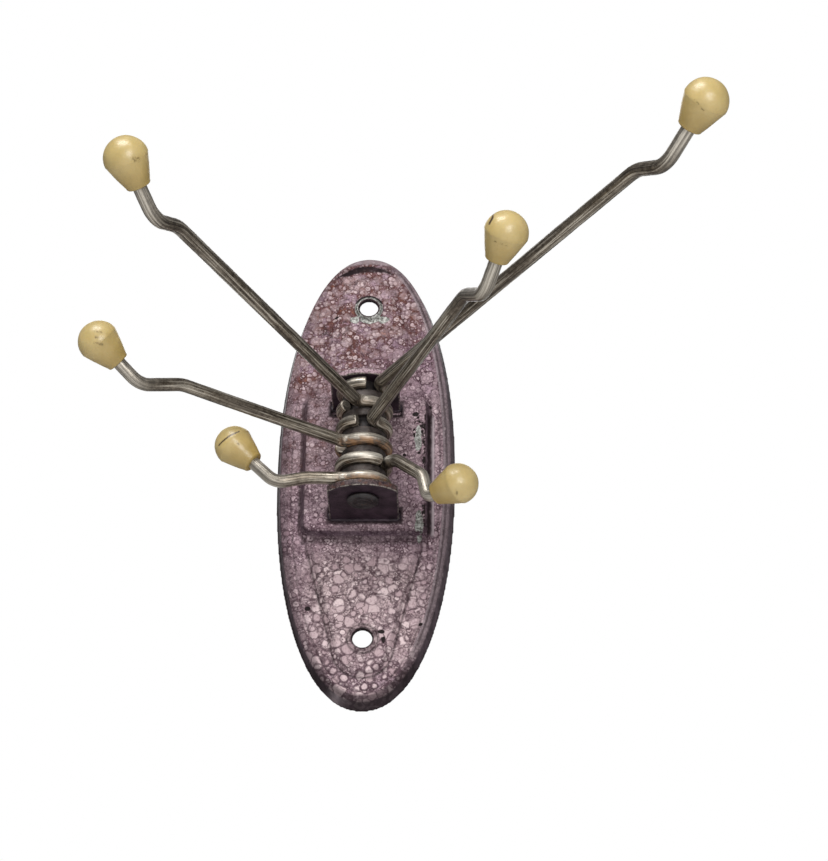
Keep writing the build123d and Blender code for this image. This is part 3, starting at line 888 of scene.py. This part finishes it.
def make_knob(number, marks, material):
    """Hemisphere on a cone, with the line where the mould halves met, a soft lip and a drilled base."""
    base, direction, length, radius = knob_frame(number)
    neck = length - radius
    mouth, lip, bend = 2.3 * MM, 4.1 * MM, 0.9 * MM
    profile = [(0.0, bend), (mouth, bend), (mouth, 0.05 * MM), (mouth + 0.15 * MM, 0.0)]
    for step in range(7):
        turn = math.radians(15.0 * step)
        profile.append((lip - bend + bend * math.sin(turn), bend - bend * math.cos(turn)))
    rise, arcs, around = 30, 40, 144
    for step in range(1, rise):
        part = step / rise
        height = bend + (neck - bend) * part
        swell = 0.12 * MM * math.sin(math.pi * part)
        profile.append((lip + (radius - lip) * part + swell, height))
    profile += [
        (radius, neck - 0.12 * MM),
        (radius - 0.05 * MM, neck),
        (radius - 0.01 * MM, neck + 0.12 * MM),
    ]
    for step in range(1, arcs):
        turn = math.pi / 2 * step / arcs
        profile.append((radius * math.cos(turn), neck + radius * math.sin(turn)))
    profile.append((0.0, neck + radius))
    piece = turned_piece(f"knob_ivory_{number}", profile, around, base, direction)
    mesh = piece.data
    places = vertex_places(mesh)
    reach = (places - np.array(base)) @ np.array(direction)

    # marks sit where the room sees them: a plane square to the knob, seen from the room
    view = Vector((0.0, -0.87, -0.49))
    across = direction.cross(view).normalized()
    spread = places - np.array(base + direction * neck)
    u = (spread @ np.array(across)) / radius
    v = (spread @ np.array(direction)) / radius
    facing = (spread @ np.array(view)) > 0.0
    stain, crack = np.zeros(len(places)), np.zeros(len(places))
    for kind, x0, y0, x1, y1, wide in marks:
        run = np.array((x1 - x0, y1 - y0))
        along = np.clip(((u - x0) * run[0] + (v - y0) * run[1]) / max(run @ run, 1e-9), 0.0, 1.0)
        away = np.hypot(u - x0 - along * run[0], v - y0 - along * run[1])
        strength = smooth_step(away, wide, wide * 0.35) * facing
        if kind == "crack":
            crack = np.maximum(crack, strength)
        else:
            stain = np.maximum(stain, strength)
    put_masks(mesh, along=reach / length, stain=stain, crack=crack)
    lumps = wobble(places, 4.0, float(number)) * 0.08 - crack * 0.1
    outward = vertex_normals(mesh)
    put_places(mesh, places + outward * (lumps * (reach > 0.2 * MM))[:, None] * MM)
    dress(piece, f"swing_{number}", "ivory_plastic", material, f"knob_{number}")
    return piece


def make_arm(number, looks, material):
    """The wire, with the CAD's shape, a little unevenly drawn, with rust, paler wire near the knob, a
    painted highlight on each eye's upper front and darker places that are partly painted shade.
    """
    piece = soft_copy(f"arm_{number}", f"wire_{number}", WIRE_VOXEL)
    mesh = piece.data
    places, normals = vertex_places(mesh), vertex_normals(mesh)
    from_pin = np.hypot(places[:, 0], places[:, 1] + PIN_DISTANCE) / MM
    eye_height = places[:, 2][from_pin < 9.0].mean()
    knob_base = knob_frame(number)[0]
    from_knob = np.linalg.norm(places - np.array(knob_base), axis=1) / MM
    in_eye = smooth_step(from_pin, 14.0, 10.5) * (np.abs(places[:, 2] - eye_height) < 3.0 * MM)
    # which way each point faces round the wire, and how far along the wire it is
    run_way = np.array(knob_base) - np.array((0.0, -PIN_DISTANCE, eye_height))
    run_way[2] = 0.0
    run_way /= np.linalg.norm(run_way)
    beside = np.cross(run_way, (0.0, 0.0, 1.0))
    from_axis = places - np.array((0.0, -PIN_DISTANCE, 0.0))
    outward = from_axis[:, :2] / (from_pin * MM)[:, None]
    side = np.where(in_eye > 0.5, (normals[:, :2] * outward).sum(1), normals @ beside)
    tilt = np.sign(normals[:, 2]) * np.sqrt(np.clip(1.0 - side**2, 0.0, 1.0))
    angle = np.arctan2(from_axis[:, 1], from_axis[:, 0])
    run = np.where(in_eye > 0.5, angle * 0.6, (from_axis @ run_way) / (40.0 * MM))
    put_signed(mesh, "side", side)
    put_signed(mesh, "up", tilt)
    put_signed(mesh, "run", run + 3.0 * number)
    rust_eye, eye_highlight, dark_root = looks
    ragged = wobble(places, 1.8, 2.0 + number)
    # rust sits on the underside of an eye, and its upper front, which faces the lamps, gets a painted
    # highlight
    under = smooth_step(-normals[:, 2] + 0.25 * ragged, -0.25, 0.35)
    rust = in_eye * rust_eye * (0.25 + 0.75 * under)
    rubbed = smooth_step(0.45 * normals[:, 2] - 0.9 * normals[:, 1], 0.35, 0.9)
    bright = in_eye * eye_highlight * rubbed + 0.5 * smooth_step(from_knob, 18.0, 6.0)
    # painted shadow where the knob begins, painted shade inside the eye, and darker along the root
    stained = smooth_step(from_knob + 0.6 * ragged, 2.4, 0.8)
    inner = smooth_step(from_pin, 7.6, 6.6)
    root = smooth_step(from_pin, 26.0, 9.0) * (1.0 - in_eye)
    dark = highest(0.9 * stained, 0.7 * inner, dark_root * root)
    put_masks(mesh, rust=rust, bright=bright, dark=dark)
    swell = 0.035 * ragged + 0.05 * wobble(places, 9.0, 20.0 + number) + 0.09
    put_places(mesh, places + normals * swell[:, None] * MM)
    dress(piece, f"swing_{number}", "wire_steel", material, f"arm_{number}")
    return piece


# ---------------------------------------------------------------- stage, light and camera


def make_stage():
    """A pale floor well below the rack, gently dished up at its edge."""
    bm = bmesh.new()
    height, flat, reach, rise, sides = -0.75, 2.0, 6.0, 0.02, 64  # metres, and a count
    rings = [[bm.verts.new((0.0, 0.0, height))]]
    for radius in (0.5, 1.0, flat, 3.0, 4.5, reach):
        level = height + rise * max(0.0, radius - flat) ** 2 / (reach - flat) ** 2
        turns = [2.0 * math.pi * step / sides for step in range(sides)]
        around = [(radius * math.cos(turn), radius * math.sin(turn), level) for turn in turns]
        rings.append([bm.verts.new(place) for place in around])
    for inner, outer in zip(rings, rings[1:]):
        for step in range(sides):
            after = (step + 1) % sides
            if len(inner) == 1:
                bm.faces.new((inner[0], outer[step], outer[after]))
            else:
                bm.faces.new((inner[step], outer[step], outer[after], inner[after]))
    mesh = bpy.data.meshes.new("floor")
    bm.to_mesh(mesh)
    bm.free()
    mesh.shade_smooth()
    floor = bpy.data.objects.new("floor", mesh)
    bpy.context.scene.collection.objects.link(floor)
    floor.data.materials.append(paper_white())


def area_light(name, place, target, size, watts):
    """A white lamp at a place, turned to its target."""
    light = bpy.data.lights.new(name, "AREA")
    light.shape = "RECTANGLE"
    light.size, light.size_y = size
    light.energy = watts
    holder = bpy.data.objects.new(name, light)
    holder.location = place
    holder.rotation_mode = "QUATERNION"
    holder.rotation_quaternion = (Vector(target) - Vector(place)).to_track_quat("-Z", "Y")
    bpy.context.scene.collection.objects.link(holder)


def make_lights():
    """A white surround that lights softly, one lamp above, one near the camera and a weak one behind."""
    world = bpy.data.worlds.new("studio")
    world.use_nodes = True
    tree = world.node_tree
    tree.nodes.clear()
    output = tree.nodes.new("ShaderNodeOutputWorld")
    either = tree.nodes.new("ShaderNodeMixShader")
    path = tree.nodes.new("ShaderNodeLightPath")
    tree.links.new(path.outputs["Is Camera Ray"], either.inputs[0])
    for socket, strength in ((1, SURROUND_LIGHT), (2, 1.0)):
        background = tree.nodes.new("ShaderNodeBackground")
        background.inputs["Strength"].default_value = strength
        background.inputs["Color"].default_value = (1.0, 1.0, 1.0, 1.0)
        tree.links.new(background.outputs[0], either.inputs[socket])
    tree.links.new(either.outputs[0], output.inputs[0])
    bpy.context.scene.world = world
    middle = (0.0, -0.05, 0.0)
    area_light("key", (-0.25, -0.75, 0.7), middle, (0.55, 0.4), 10.0)
    area_light("front", (0.3, -1.15, -0.15), middle, (0.5, 0.5), 9.0)
    area_light("back", (-0.1, 1.0, 0.7), middle, (0.8, 0.8), 5.0)


def make_camera():
    """The photo's camera, with plain colours so that white stays white."""
    bpy.context.scene.view_settings.view_transform = "Standard"
    camera = bpy.data.cameras.new("camera")
    camera.lens = CAMERA_LENS
    camera.sensor_width = CAMERA_SENSOR
    camera.clip_start, camera.clip_end = 0.01, 20.0
    holder = bpy.data.objects.new("camera", camera)
    bpy.context.scene.collection.objects.link(holder)
    forward = CAMERA_FORWARD.normalized()
    right = (CAMERA_RIGHT - forward * CAMERA_RIGHT.dot(forward)).normalized()
    up = right.cross(forward)
    turn = Matrix((right, up, -forward)).transposed()
    holder.matrix_world = Matrix.Translation(CAMERA_PLACE) @ turn.to_4x4()
    bpy.context.scene.camera = holder


# ---------------------------------------------------------------- the rack

# per arm: rust in the eye, painted highlight on the eye's upper front, darkness of the root
WIRE_LOOKS = {
    1: (0.15, 0.45, 0.35),
    2: (0.30, 0.40, 0.30),
    3: (0.15, 0.50, 0.30),
    4: (1.00, 0.75, 0.05),
    5: (0.20, 1.00, 0.75),
    6: (1.00, 0.70, 0.00),
}

# per knob: (kind, from across, from along, to across, to along, half width), all in dome radii
# from the dome's middle
KNOB_MARKS = {
    1: (("stain", -0.4, 0.05, 0.1, -0.12, 0.06),),
    2: (("stain", 0.33, 0.03, 0.38, 0.06, 0.15), ("stain", 0.52, -0.02, 0.5, -0.08, 0.13)),
    3: (("crack", -0.83, 0.30, -0.78, 0.58, 0.06), ("stain", -0.35, -0.22, 0.2, -0.24, 0.06)),
    4: (
        ("stain", -0.1, 0.15, 0.1, -0.15, 0.08),
        ("stain", 0.1, 0.3, 0.3, 0.0, 0.08),
        ("stain", 0.2, 0.55, 0.45, 0.3, 0.06),
    ),
    5: (("stain", 0.2, 0.3, 0.5, 0.1, 0.06),),
    6: (
        ("crack", -0.44, 0.34, 0.2, 0.2, 0.06),
        ("crack", 0.2, 0.2, 0.72, 0.06, 0.055),
        ("stain", 0.26, -0.2, 0.27, -0.7, 0.06),
    ),
}

make_plate(crackle_enamel())
bracket_film = bracket_enamel()
make_bracket(bracket_film)
# near-black beads in the gaps round the lugs, painted shade
make_gap_shade_bead("gap_shade_top", 22.0, 24.7, bracket_film)
make_gap_shade_bead("gap_shade_bottom", -23.9, -21.2, bracket_film)
make_pin(dull_steel("pin_steel", (0.009, 0.0075, 0.008), (0.040, 0.036, 0.037)))
spacer_steel = dull_steel("spacer_steel", (0.016, 0.012, 0.011), (0.070, 0.058, 0.053))
for number in range(1, 6):
    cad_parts[f"spacer_{number}"].data.materials.clear()
    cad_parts[f"spacer_{number}"].data.materials.append(spacer_steel)
wire = wire_steel()
ivory = ivory_plastic()
for number in ARM_NUMBERS:
    make_arm(number, WIRE_LOOKS[number], wire)
    make_knob(number, KNOB_MARKS[number], ivory)
make_stage()
make_lights()
make_camera()
